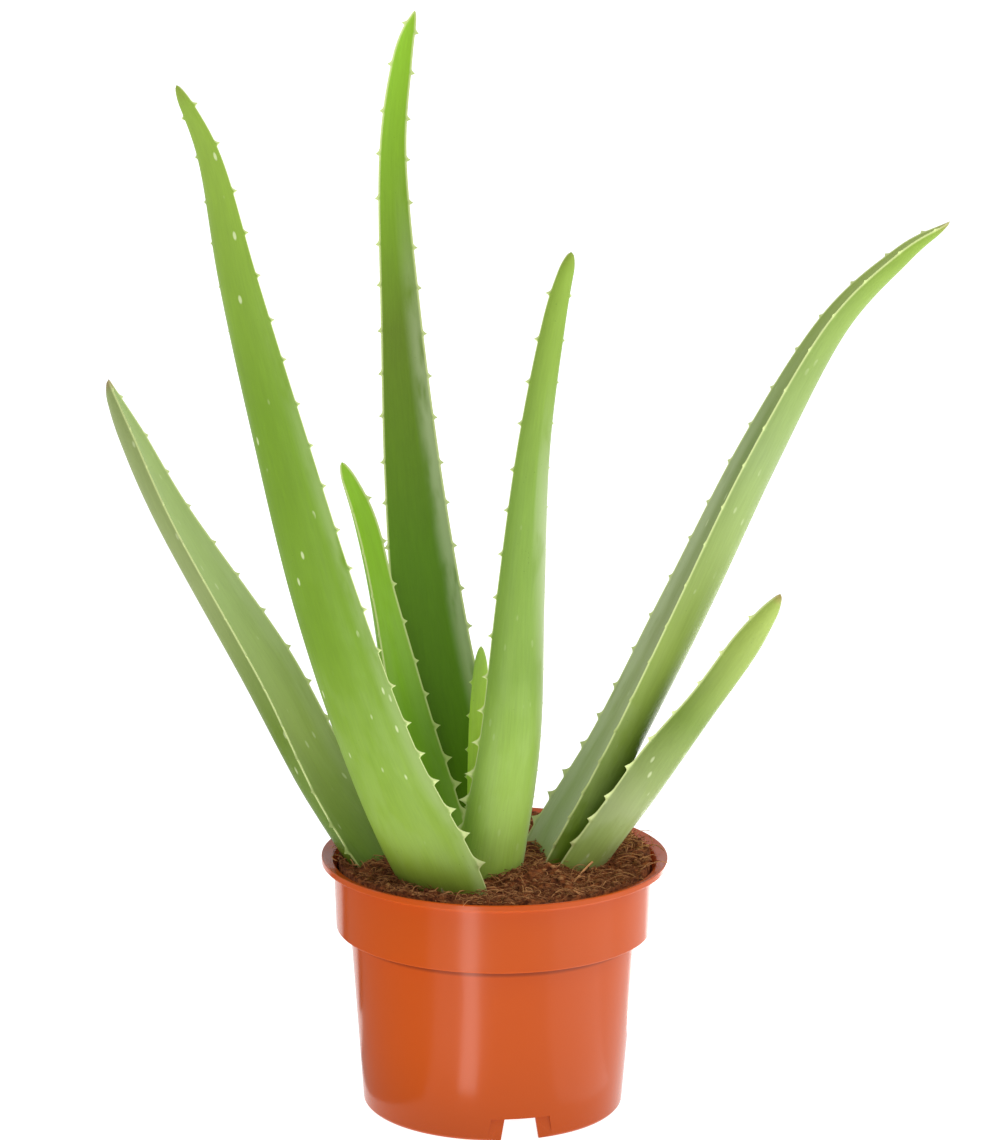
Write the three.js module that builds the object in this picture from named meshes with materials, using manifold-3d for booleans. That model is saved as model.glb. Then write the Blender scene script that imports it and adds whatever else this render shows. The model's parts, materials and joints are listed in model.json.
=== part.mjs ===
// A potted aloe: a 12 cm plastic nursery pot, its potting mix, the short stem with its roots,
// and eight toothed leaves. Millimetres, +Z up. The origin is the middle of the pot's underside,
// and the side of the pot that has the drain notch in view looks towards -Y.
import * as THREE from "three";
import { mergeVertices } from "three/addons/utils/BufferGeometryUtils.js";
import Module from "manifold-3d";

const wasm = await Module();
wasm.setup();

// ---------------------------------------------------------------- driving dimensions

// Pot
const POT_HEIGHT = 89;
const LIP_RADIUS = 60; // the outer edge of the rim: a 12 cm pot
const LIP_HEIGHT = 2.4;
const LIP_FILLET = 2.4; // the curve from the collar out to the lip
const COLLAR_TOP_RADIUS = 55.7;
const COLLAR_FOOT_RADIUS = 54.8;
const COLLAR_FOOT_Z = 63.3;
const BODY_TOP_RADIUS = 49.9;
const BASE_RADIUS = 45.1;
const WALL = 1.2;
const FLOOR = 1.6;
const FOOT_ROUNDING = 1.6;
const POT_SIDES = 60;
const PAST = 5; // how far a cutting shape runs past what it cuts

// Drainage: three chambers under the floor, each with one hole above and a notch in the wall
const NOTCH_BEARINGS = [12.5, 132.5, 252.5]; // degrees from the front, towards the right
const NOTCH_HEIGHT = 7.6;
const NOTCH_TOP_WIDTH = 10.8;
const NOTCH_FOOT_WIDTH = 13.6;
const PANEL_DEPTH = 0.5; // the sunk panel round each notch
const PANEL_MARGIN = 4.8;
const CHAMBER_WIDTH = 24;
const CHAMBER_START_RADIUS = 22;
const DRAIN_HOLE_RADIUS = 3.2;
const DRAIN_HOLE_AT = 34;

// Potting mix
const SPACE = 0.4; // what touches in the real plant keeps this gap
const MIX_EDGE_Z = 85.6;
const MIX_CROWN_RISE = 2.2;
const MIX_RIPPLE = 0.45; // small waves all over the top
const MIX_RINGS = 7;
const MIX_SIDES = 48;
// Where the mix is heaped or hollowed: x, y, rise, spread
const MIX_HEAPS = [
  { x: 36, y: 30, rise: 5.5, spread: 12 },
  { x: 46, y: 5, rise: 2.4, spread: 13 },
  { x: 17, y: -20, rise: 3.2, spread: 9 },
  { x: 8, y: -28, rise: 2, spread: 7 },
  { x: -44, y: -8, rise: 1.6, spread: 9 },
  { x: 8, y: 34, rise: 1.8, spread: 14 },
  { x: -14, y: 44, rise: -2.4, spread: 10 },
];

// Stem and roots
const STEM_X = -3;
const STEM_TOP_Z = 72;
const STEM_FOOT_Z = 40;
const STEM_RADIUS = 7;
const STEM_SIDES = 14;
const ROOT_COUNT = 6;
const ROOT_RADIUS = 1.7;
const ROOT_REACH = 27;
const ROOT_FOOT_Z = 13;
const ROOT_SIDES = 5;
const ROOT_STEPS = 5;

// Leaves
const RING_STEP = 12; // distance between two rings of a leaf
const BACK_STEPS = 8; // facets across the rounded back
const FACE_STEPS = 4; // facets across the hollow face
const CHANNEL = 0.2; // how hollow the face is, as a share of the half width
const TIP_ROUNDING = 7; // length of the rounded tip
const TIP_RINGS = 3; // rings over the rounded tip
const TOOTH_HEIGHT = 3.2;
const UPPER_TOOTH = 0.5; // how much of that is left far up the leaf
const TOOTH_TILT = 0.45; // teeth point outwards and this much away from the rounded back
const TOOTH_LONG_FLANK = 4; // on the side of the leaf's tip
const TOOTH_SHORT_FLANK = 2;
const TOOTH_THICKNESS = 1.5;
const TOOTH_SINK = 1.4; // how deep a tooth is rooted in the margin
const FULL_TOOTH_HALF_WIDTH = 12; // where the leaf is narrower, its teeth are smaller
const SMALLEST_TOOTH = 0.45; // as a share of a full tooth
const PITCH_AT_BASE = 10;
const PITCH_AT_TIP = 15;
const TEETH_CHANGE_OVER = 80; // from full teeth close together to small ones far apart

// Each leaf runs along a path from the stem to its tip, with a half width at each point of the path.
// bearing: where its rounded back looks, in degrees from +X towards +Y, at the foot and at the tip.
// back: how far the back bulges, as a share of the half width.
// firstTooth: how far along the path each margin's first tooth sits.
const LEAVES = {
  leaf_centre_small: {
    path: [[-5, 2, 74], [-5.4, 5, 100], [-5.1, 7, 128], [-5.3, 8, 145], [-5.3, 9, 161]],
    halfWidths: [3, 4.2, 4.4, 3.3, 1.6],
    bearing: [260, 260],
    back: 0.7,
    firstTooth: [32, 30],
    colour: "#8cc152",
  },
  leaf_inner_left: {
    path: [
      [-8, 3, 68], [-17.8, 6, 96], [-28.5, 12, 133], [-38.6, 18, 175], [-45.4, 22, 202], [-54, 25, 222],
    ],
    halfWidths: [6, 11.9, 9.4, 5.5, 4.5, 2],
    bearing: [148, 128],
    back: 0.88,
    firstTooth: [30, 32],
    colour: "#5c9645",
  },
  leaf_tall_back: {
    path: [
      [-7, 8, 66], [-13, 15, 104], [-22.4, 22, 160], [-29.2, 28, 215],
      [-33.8, 34, 270], [-37, 39, 325], [-34, 42, 359], [-29.7, 44, 376],
    ],
    halfWidths: [10, 15.6, 13.1, 10.1, 7.1, 4.8, 3.5, 1.2],
    bearing: [95, 95],
    back: 0.75,
    firstTooth: [30, 28],
    colour: "#4d8336",
  },
  leaf_front_right: {
    path: [
      [-1, -5, 64], [-2.6, -14, 87], [4.4, -18, 135], [7.6, -22, 185],
      [11.6, -27, 238], [18.2, -31, 283], [23.6, -33, 306],
    ],
    halfWidths: [9, 13, 11.6, 9, 6, 4.1, 2.2],
    bearing: [306, 290],
    back: 0.78,
    firstTooth: [41, 41],
    colour: "#85b763",
  },
  leaf_long_right: {
    path: [
      [3, 3, 59], [12.4, 3, 86], [35.8, 4, 129.5], [59, 5, 179],
      [83.8, 8, 231], [110.2, 10, 276], [134.8, 11.5, 300], [152.3, 12, 310],
    ],
    halfWidths: [10, 17.4, 14.1, 14.1, 12.5, 8.7, 5.6, 1.4],
    bearing: [9, 0],
    back: 1,
    firstTooth: [38, 42],
    colour: "#7fae68",
  },
  leaf_front_left: {
    path: [
      [-5, -8, 60], [-15, -24, 85], [-36.8, -31, 131], [-56.4, -40, 189],
      [-73.1, -49, 252], [-84.9, -56, 300], [-93.5, -62, 340], [-103.9, -66, 364.5],
    ],
    halfWidths: [14, 19.5, 16.3, 13.5, 9.9, 7, 4.1, 1.6],
    bearing: [216, 258],
    back: 0.65,
    firstTooth: [41, 38],
    colour: "#7db25a",
  },
  leaf_low_left: {
    path: [
      [-13, -3, 58], [-26.3, -6, 84], [-54.6, 5, 113.5], [-77.7, 21, 152],
      [-109.4, 39, 198], [-126.4, 51, 227], [-136.9, 58, 244],
    ],
    halfWidths: [9, 18, 12.8, 12.7, 9.5, 7.2, 2.7],
    bearing: [128, 173],
    back: 1,
    firstTooth: [40, 38],
    colour: "#6b9c55",
  },
  leaf_low_right: {
    path: [
      [15, -2, 59], [22.8, -1, 87.7], [46.5, -6, 121.2], [67.3, -9, 147], [83.3, -14, 170], [96, -18, 187],
    ],
    halfWidths: [9, 14.2, 12.6, 8.8, 7.2, 2.4],
    bearing: [2, -41],
    back: 1,
    firstTooth: [40, 43],
    colour: "#8fae62",
  },
};

// ---------------------------------------------------------------- solids

const radians = THREE.MathUtils.degToRad;

function solidOf(geometry) {
  const bare = geometry.clone();
  bare.deleteAttribute("normal");
  bare.deleteAttribute("uv");
  const merged = mergeVertices(bare, 1e-4);
  return new wasm.Manifold(
    new wasm.Mesh({
      numProp: 3,
      vertProperties: merged.getAttribute("position").array,
      triVerts: new Uint32Array(merged.getIndex().array),
    }),
  );
}

function geometryOf(solid) {
  const mesh = solid.getMesh();
  const geometry = new THREE.BufferGeometry();
  geometry.setAttribute("position", new THREE.BufferAttribute(mesh.vertProperties, 3));
  geometry.setIndex(new THREE.BufferAttribute(mesh.triVerts, 1));
  geometry.computeVertexNormals();
  return geometry;
}

// Booleans can leave a scrap behind: only the largest body is kept.
function largestBody(solid) {
  const bodies = solid.decompose().sort((a, b) => b.volume() - a.volume());
  return bodies[0];
}

// A closed skin over rings of points, with a flat end at the first ring and a point past the last one.
// The rings turn clockwise as seen from the point. The flat end fans out from the ring's middle,
// because a ring may be hollow on one side.
function loftToPoint(rings, point) {
  const size = rings[0].length;
  const tip = rings.length * size;
  const foot = tip + 1;
  const middle = new THREE.Vector3();
  for (const corner of rings[0]) middle.addScaledVector(corner, 1 / size);
  const positions = [...rings.flat(), point, middle].flatMap((p) => p.toArray());
  const triangles = [];
  for (let k = 0; k < size; k++) {
    const next = (k + 1) % size;
    for (let i = 0; i + 1 < rings.length; i++) {
      const low = i * size;
      const high = low + size;
      triangles.push(low + k, high + k, low + next, low + next, high + k, high + next);
    }
    triangles.push(tip - size + k, tip, tip - size + next);
    triangles.push(foot, k, next);
  }
  const geometry = new THREE.BufferGeometry();
  geometry.setAttribute("position", new THREE.Float32BufferAttribute(positions, 3));
  geometry.setIndex(triangles);
  return geometry;
}

function lathe(profile, sides) {
  const points = profile.map(([radius, z]) => new THREE.Vector2(radius, z));
  return new THREE.LatheGeometry(points, sides).rotateX(Math.PI / 2);
}

// ---------------------------------------------------------------- pot

// Outer radius of the pot's lower body at a height
const bodyRadius = (z) => THREE.MathUtils.lerp(BASE_RADIUS, BODY_TOP_RADIUS, z / COLLAR_FOOT_Z);

// The pot's inner surface, from the top of the wall down to the middle of the floor.
// What fills the pot has the same outline, a gap inside it.
function potInside(gap = 0) {
  return [
    [COLLAR_TOP_RADIUS - WALL - gap, POT_HEIGHT - LIP_HEIGHT - LIP_FILLET],
    [COLLAR_FOOT_RADIUS - WALL - gap, COLLAR_FOOT_Z + WALL + gap],
    [BODY_TOP_RADIUS - WALL - gap, COLLAR_FOOT_Z + gap],
    [bodyRadius(FLOOR) - WALL - gap, FLOOR + gap],
    [0, FLOOR + gap],
  ];
}

function potShell() {
  const lipFoot = POT_HEIGHT - LIP_HEIGHT;
  const outside = [
    [0, 0],
    [BASE_RADIUS - FOOT_ROUNDING, 0],
    [BASE_RADIUS - 0.3 * FOOT_ROUNDING, 0.3 * FOOT_ROUNDING],
    [bodyRadius(FOOT_ROUNDING), FOOT_ROUNDING],
    [BODY_TOP_RADIUS, COLLAR_FOOT_Z - 1],
    [COLLAR_FOOT_RADIUS - 0.9, COLLAR_FOOT_Z - 0.4],
    [COLLAR_FOOT_RADIUS, COLLAR_FOOT_Z + 0.5],
    [COLLAR_TOP_RADIUS, lipFoot - LIP_FILLET],
    [COLLAR_TOP_RADIUS + 0.35 * LIP_FILLET, lipFoot - 0.35 * LIP_FILLET],
    [LIP_RADIUS - 0.7, lipFoot],
    [LIP_RADIUS, lipFoot + 0.8],
    [LIP_RADIUS - 0.3, POT_HEIGHT - 0.4],
    [LIP_RADIUS - 1, POT_HEIGHT],
  ];
  const mouth = [COLLAR_TOP_RADIUS + 0.6, POT_HEIGHT - 0.6];
  return solidOf(lathe([...outside, mouth, ...potInside()], POT_SIDES));
}

// A prism that runs outwards along +X, with a foot wider than its top
function trapezoidPrism(footWidth, topWidth, height, footZ, from, to) {
  const outline = new THREE.Shape([
    new THREE.Vector2(-footWidth / 2, footZ),
    new THREE.Vector2(footWidth / 2, footZ),
    new THREE.Vector2(topWidth / 2, height),
    new THREE.Vector2(-topWidth / 2, height),
  ]);
  const prism = new THREE.ExtrudeGeometry(outline, { depth: to - from, bevelEnabled: false });
  // The outline's y goes up, its x across, and the depth outwards
  return prism.rotateX(Math.PI / 2).rotateZ(Math.PI / 2).translate(from, 0, 0);
}

// The inside of the pot's foot, as a solid that stands on the ground
function footInside(gap = 0) {
  const reach = 2 * NOTCH_HEIGHT;
  return solidOf(lathe(
    [[0, -1], [BASE_RADIUS - WALL - gap, -1], [bodyRadius(reach) - WALL - gap, reach], [0, reach]],
    POT_SIDES,
  ));
}

// A drainage chamber with its roof and sides, thicker by a gap: what the mix leaves free
const chamberShell = (gap = 0) => trapezoidPrism(
  CHAMBER_WIDTH + 2 * (WALL + gap), CHAMBER_WIDTH + 2 * (WALL + gap), NOTCH_HEIGHT + WALL + gap, 0,
  CHAMBER_START_RADIUS - WALL - gap, BASE_RADIUS + PAST,
);

function potOf() {
  const panelWidth = NOTCH_TOP_WIDTH + 2 * PANEL_MARGIN;
  const panelHalfAngle = Math.asin(panelWidth / 2 / BASE_RADIUS);
  const panelFloorRadius = bodyRadius(NOTCH_HEIGHT / 2) * Math.cos(panelHalfAngle) - PANEL_DEPTH;
  // The chambers' sides end inside the wall
  const shellLimit = footInside(-WALL / 2);
  let pot = potShell();
  for (const degrees of NOTCH_BEARINGS) {
    const place = (geometry) => solidOf(geometry.rotateZ(radians(degrees - 90)));
    // The wall keeps its thickness behind the panel
    const chamber = trapezoidPrism(
      CHAMBER_WIDTH, CHAMBER_WIDTH, NOTCH_HEIGHT, -1, CHAMBER_START_RADIUS, panelFloorRadius - WALL,
    );
    const notch = trapezoidPrism(
      NOTCH_FOOT_WIDTH, NOTCH_TOP_WIDTH, NOTCH_HEIGHT - 0.1, -1, DRAIN_HOLE_AT, BASE_RADIUS + PAST,
    );
    const panel = trapezoidPrism(
      panelWidth + NOTCH_FOOT_WIDTH - NOTCH_TOP_WIDTH, panelWidth, NOTCH_HEIGHT + 0.5, -1,
      panelFloorRadius, BASE_RADIUS + PAST,
    );
    const drain = new THREE.CylinderGeometry(DRAIN_HOLE_RADIUS, DRAIN_HOLE_RADIUS, 2 * NOTCH_HEIGHT, 16)
      .rotateX(Math.PI / 2)
      .translate(DRAIN_HOLE_AT, 0, NOTCH_HEIGHT);
    pot = pot
      .add(place(chamberShell()).intersect(shellLimit))
      .subtract(place(panel))
      .subtract(place(chamber))
      .subtract(place(notch))
      .subtract(place(drain));
  }
  return largestBody(pot);
}

// ---------------------------------------------------------------- stem and roots

function stemOf(grow = 0) {
  const radius = STEM_RADIUS + grow;
  const core = lathe(
    [
      [0, STEM_FOOT_Z - grow],
      [radius * 0.75, STEM_FOOT_Z - grow],
      [radius, STEM_FOOT_Z + STEM_RADIUS],
      [radius * 0.9, STEM_TOP_Z - STEM_RADIUS],
      [radius * 0.4, STEM_TOP_Z + grow],
      [0, STEM_TOP_Z + grow],
    ],
    STEM_SIDES,
  ).translate(STEM_X, 0, 0);
  let stem = solidOf(core);
  for (let k = 0; k < ROOT_COUNT; k++) {
    // Every other root is shorter, and they leave the stem at three heights
    const bearing = ((k + 0.4) * 2 * Math.PI) / ROOT_COUNT;
    const reach = ROOT_REACH * (k % 2 ? 0.75 : 1);
    const startZ = STEM_FOOT_Z + 3 * (1 + (k % 3));
    const along = (share, z) =>
      new THREE.Vector3(STEM_X + Math.cos(bearing) * share * reach, Math.sin(bearing) * share * reach, z);
    const route = new THREE.CatmullRomCurve3([
      along(0.08, startZ),
      along(0.45, startZ - 6),
      along(0.85, (startZ + ROOT_FOOT_Z) / 2 - 2),
      along(1, ROOT_FOOT_Z + 3 * (k % 2)),
    ]);
    stem = stem.add(rootAlong(route, grow));
  }
  return largestBody(stem);
}

function rootAlong(route, grow) {
  const rings = [];
  for (let i = 0; i < ROOT_STEPS; i++) {
    const share = i / ROOT_STEPS;
    const radius = ROOT_RADIUS * (1 - 0.55 * share) + grow;
    const at = route.getPoint(share);
    const along = route.getTangent(share);
    const side = new THREE.Vector3(0, 0, 1).cross(along).normalize();
    const up = along.clone().cross(side);
    const ring = [];
    for (let k = 0; k < ROOT_SIDES; k++) {
      const angle = (-k * 2 * Math.PI) / ROOT_SIDES;
      ring.push(
        at.clone()
          .addScaledVector(side, radius * Math.cos(angle))
          .addScaledVector(up, radius * Math.sin(angle)),
      );
    }
    rings.push(ring);
  }
  const end = route.getPoint(1).addScaledVector(route.getTangent(1), grow);
  return solidOf(loftToPoint(rings, end));
}

// ---------------------------------------------------------------- leaves

const curveThrough = (points) => new THREE.CatmullRomCurve3(points, false, "catmullrom", 0.5);

function leafGuide({ path, halfWidths, bearing }) {
  const spine = curveThrough(path.map((p) => new THREE.Vector3(...p)));
  const girth = curveThrough(halfWidths.map((w) => new THREE.Vector3(w, 0, 0)));
  const tip = new THREE.Vector3(...path.at(-1));
  const length = spine.getLength();

  // Where the leaf is, which way it runs, and how wide it is, at a share of its path
  function frameAt(share) {
    const at = spine.getPoint(share);
    const along = spine.getTangent(share);
    const turn = radians(THREE.MathUtils.lerp(bearing[0], bearing[1], share));
    const outward = new THREE.Vector3(Math.cos(turn), Math.sin(turn), 0).projectOnPlane(along).normalize();
    const across = along.clone().cross(outward);
    const left = 1 - Math.min(1, at.distanceTo(tip) / TIP_ROUNDING);
    const halfWidth = girth.getPoint(share).x * Math.sqrt(Math.max(0, 1 - left * left));
    return { at, along, outward, across, halfWidth };
  }

  const shareAt = (distance) => spine.getUtoTmapping(0, distance);
  return { frameAt, shareAt, tip, length };
}

// The section's outline: round the back from one margin to the other, then over the hollow face
function leafSection(back) {
  const outline = [];
  for (let k = 0; k <= BACK_STEPS; k++) {
    const angle = (k * Math.PI) / BACK_STEPS;
    outline.push([Math.cos(angle), back * Math.sin(angle)]);
  }
  for (let k = 1; k < FACE_STEPS; k++) {
    const u = (2 * k) / FACE_STEPS - 1;
    outline.push([u, CHANNEL * (1 - u * u)]);
  }
  return outline;
}

// The outline moved outwards by a gap: each corner goes along the mean of its two sides' normals.
// The outline turns left, so a side's normal is the side turned right.
function widened(outline, gap) {
  const normalOf = (from, to) => new THREE.Vector2(to.y - from.y, from.x - to.x).normalize();
  return outline.map((corner, k) => {
    const before = normalOf(outline.at(k - 1), corner);
    const after = normalOf(corner, outline[(k + 1) % outline.length]);
    const mean = before.clone().add(after).normalize();
    return corner.clone().addScaledVector(mean, gap / Math.max(0.5, mean.dot(before)));
  });
}

// Distances of the rings along a leaf: even up to the rounded tip, then closer together
function ringPlaces(length) {
  const even = length - TIP_ROUNDING;
  const steps = Math.round(even / RING_STEP);
  const places = [];
  for (let i = 0; i <= steps; i++) places.push((even * i) / steps);
  for (let k = 1; k < TIP_RINGS; k++) places.push(length - TIP_ROUNDING * (1 - k / TIP_RINGS) ** 1.5);
  return places;
}

function leafBlade(leaf, gap = 0) {
  const guide = leafGuide(leaf);
  const section = leafSection(leaf.back);
  const rings = ringPlaces(guide.length).map((distance) => {
    const { at, along, outward, across, halfWidth } = guide.frameAt(guide.shareAt(distance));
    if (distance === 0) at.addScaledVector(along, -gap);
    const outline = section.map(([u, v]) => new THREE.Vector2(u * halfWidth, v * halfWidth));
    return widened(outline, gap).map((corner) =>
      at.clone().addScaledVector(across, corner.x).addScaledVector(outward, corner.y),
    );
  });
  return solidOf(loftToPoint(rings, guide.tip));
}

function toothAt({ at, along, outward, across, halfWidth }, side, wholeness) {
  const size = Math.max(SMALLEST_TOOTH, wholeness * Math.min(1, halfWidth / FULL_TOOTH_HALF_WIDTH));
  const edge = at.clone().addScaledVector(across, side * halfWidth);
  const root = edge.clone()
    .addScaledVector(across, -side * TOOTH_SINK * size)
    .addScaledVector(outward, TOOTH_THICKNESS * 0.6 * size);
  const apex = edge.clone()
    .addScaledVector(across, side * TOOTH_HEIGHT * size)
    .addScaledVector(outward, -TOOTH_TILT * TOOTH_HEIGHT * size)
    .addScaledVector(along, (-TOOTH_SHORT_FLANK / 4) * size);
  const low = root.clone().addScaledVector(along, -TOOTH_SHORT_FLANK * size);
  const ring = [
    root.clone().addScaledVector(along, TOOTH_LONG_FLANK * size),
    low.clone().addScaledVector(outward, (-side * TOOTH_THICKNESS * size) / 2),
    low.clone().addScaledVector(outward, (side * TOOTH_THICKNESS * size) / 2),
  ];
  return solidOf(loftToPoint([ring], apex));
}

// Where one margin's teeth stand along the path, and how much of a full tooth each one is.
// Towards the tip they are smaller and further apart, and they stand up to 1 mm off an even spacing.
function toothPlaces(first, length) {
  const places = [];
  let distance = first;
  while (distance < length - TIP_ROUNDING / 2) {
    const share = Math.min(1, (distance - first) / TEETH_CHANGE_OVER);
    places.push({ distance, wholeness: THREE.MathUtils.lerp(1, UPPER_TOOTH, share) });
    distance += THREE.MathUtils.lerp(PITCH_AT_BASE, PITCH_AT_TIP, share) + Math.sin(2.4 * places.length);
  }
  return places;
}

// The leaf's teeth, without those that would stand in the space of another piece
function teethOf(leaf, occupied) {
  const guide = leafGuide(leaf);
  const teeth = [];
  leaf.firstTooth.forEach((first, margin) => {
    const side = margin === 0 ? 1 : -1;
    for (const { distance, wholeness } of toothPlaces(first, guide.length)) {
      const tooth = toothAt(guide.frameAt(guide.shareAt(distance)), side, wholeness);
      if (tooth.intersect(occupied).isEmpty()) teeth.push(tooth);
    }
  });
  return teeth;
}

// ---------------------------------------------------------------- potting mix

function mixHeight(x, y) {
  const radius = Math.hypot(x, y);
  let z = MIX_EDGE_Z + MIX_CROWN_RISE * (1 - (radius / COLLAR_TOP_RADIUS) ** 2);
  for (const heap of MIX_HEAPS) {
    z += heap.rise * Math.exp(-((x - heap.x) ** 2 + (y - heap.y) ** 2) / heap.spread ** 2);
  }
  return z + MIX_RIPPLE * Math.sin(0.55 * x + 1) * Math.cos(0.48 * y);
}

function mixBlock() {
  // From the middle of the floor up the wall, then over the top to the middle again
  const profile = potInside(SPACE).reverse();
  const topRadius = profile.at(-1)[0];
  for (let k = MIX_RINGS; k >= 0; k--) profile.push([(topRadius * k) / MIX_RINGS, POT_HEIGHT]);
  const geometry = lathe(profile, MIX_SIDES);
  const position = geometry.getAttribute("position");
  for (let i = 0; i < position.count; i++) {
    if (position.getZ(i) > POT_HEIGHT - 0.01) {
      position.setZ(i, mixHeight(position.getX(i), position.getY(i)));
    }
  }
  let mix = solidOf(geometry);
  for (const degrees of NOTCH_BEARINGS) {
    mix = mix.subtract(solidOf(chamberShell(SPACE).rotateZ(radians(degrees - 90))));
  }
  return mix;
}

// ---------------------------------------------------------------- assembly

const plant = new THREE.Group();

function addPiece(name, solid, colour, roughness) {
  const material = new THREE.MeshStandardMaterial({ color: colour, roughness, metalness: 0 });
  const mesh = new THREE.Mesh(geometryOf(solid), material);
  mesh.name = name;
  plant.add(mesh);
}

addPiece("pot", potOf(), "#d2612f", 0.35);
addPiece("stem_and_roots", stemOf(), "#a98a5c", 0.8);

// Each piece's space is the piece and the gap round it
const names = Object.keys(LEAVES);
const spaceOf = Object.fromEntries(names.map((name) => [name, leafBlade(LEAVES[name], SPACE)]));
const stemSpace = stemOf(SPACE);
const block = mixBlock();

// The leaves are listed from the inside out, and each one clasps those inside it
let inside = stemSpace;
for (const name of names) {
  const leaf = LEAVES[name];
  const others = names.filter((other) => other !== name).map((other) => spaceOf[other]);
  const occupied = wasm.Manifold.union([stemSpace, block, ...others]);
  const blade = largestBody(leafBlade(leaf).subtract(inside));
  addPiece(name, wasm.Manifold.union([blade, ...teethOf(leaf, occupied)]), leaf.colour, 0.45);
  inside = inside.add(spaceOf[name]);
}
addPiece("potting_mix", largestBody(block.subtract(inside)), "#4b2d1a", 0.95);

export default plant;
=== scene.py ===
# %% [markdown]
# # A potted aloe
# The plant is a young aloe in a thin plastic nursery pot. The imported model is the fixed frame: it holds
# the real sizes, and nothing here moves it. Each of its visible pieces is replaced by a finer one of the
# same shape: a spun pot, crumbly mix with its fibres, and eight leaves with teeth and a waxy skin.

import bisect
import json
import math
import random

import bmesh
import bpy
from mathutils import Matrix, Vector, noise


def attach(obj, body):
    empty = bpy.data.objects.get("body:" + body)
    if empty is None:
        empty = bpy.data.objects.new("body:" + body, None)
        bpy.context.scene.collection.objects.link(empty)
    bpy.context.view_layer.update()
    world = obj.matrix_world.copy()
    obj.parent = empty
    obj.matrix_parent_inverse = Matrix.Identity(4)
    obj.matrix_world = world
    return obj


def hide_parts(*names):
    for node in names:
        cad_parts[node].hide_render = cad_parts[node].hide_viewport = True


MM = 0.001
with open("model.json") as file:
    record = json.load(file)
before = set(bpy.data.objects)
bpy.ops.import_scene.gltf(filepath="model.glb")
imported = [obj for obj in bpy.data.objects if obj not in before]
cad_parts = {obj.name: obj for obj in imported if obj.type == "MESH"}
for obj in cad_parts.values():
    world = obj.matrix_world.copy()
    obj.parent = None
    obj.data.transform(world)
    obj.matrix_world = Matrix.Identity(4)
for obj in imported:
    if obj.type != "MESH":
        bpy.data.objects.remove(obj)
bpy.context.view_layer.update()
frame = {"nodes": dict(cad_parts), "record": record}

# %% [markdown]
# ## Camera
# A long lens a little above the rim, as in a shop's product photo. Its focal length in pixels came from
# fitting the ellipses of the pot's rim and foot. A lens in millimetres follows from it, because the
# sensor's long side lies along the height of the picture.

# %% Place the camera
PICTURE_HEIGHT_PX = 1140
FOCAL_LENGTH_PX = 4812
SENSOR_MM = 36
CAMERA_PLACE = (0.001, -1.6, 0.571)
LOOKS_DOWN_DEG = 13.39
ROLL_DEG = 0.5

camera_data = bpy.data.cameras.new("camera")
camera_data.sensor_width = SENSOR_MM
camera_data.lens = SENSOR_MM * FOCAL_LENGTH_PX / PICTURE_HEIGHT_PX
camera = bpy.data.objects.new("camera", camera_data)
camera.matrix_world = (
    Matrix.Translation(CAMERA_PLACE)
    @ Matrix.Rotation(math.radians(90 - LOOKS_DOWN_DEG), 4, "X")
    @ Matrix.Rotation(math.radians(ROLL_DEG), 4, "Z")
)
bpy.context.scene.collection.objects.link(camera)
bpy.context.scene.camera = camera
print("lens in mm:", round(camera_data.lens))

# %% [markdown]
# ## Shader maths
# A finish is a small sum: so much of this colour where that mask is high. Wired by hand that takes dozens
# of Math nodes. Here a Wire holds one output of a node, and arithmetic on it adds the Math nodes, so that
# a finish reads like the formula it is.

# %% A material that is written as formulas
class Wire:
    """One output of a shader node."""

    def __init__(self, paint, socket):
        self.paint = paint
        self.socket = socket

    def math(self, operation, *values):
        """A Math node on some values. Numbers and wires may be mixed."""
        return self.paint.node("ShaderNodeMath", {"operation": operation}, dict(enumerate(values)))

    def __add__(self, other):
        return self.math("ADD", self, other)

    def __sub__(self, other):
        return self.math("SUBTRACT", self, other)

    def __rsub__(self, other):
        return self.math("SUBTRACT", other, self)

    def __mul__(self, other):
        return self.math("MULTIPLY", self, other)

    def __truediv__(self, other):
        return self.math("DIVIDE", self, other)

    __radd__ = __add__
    __rmul__ = __mul__

    def or_more(self, other):
        """The higher of the two, for masks that join."""
        return self.math("MAXIMUM", self, other)

    def ramp(self, low, high):
        """0 below low and 1 above high, with a soft passage. low may be the higher of the two."""
        settings = {"interpolation_type": "SMOOTHSTEP"}
        return self.paint.node("ShaderNodeMapRange", settings, {0: self, 1: low, 2: high})


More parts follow.
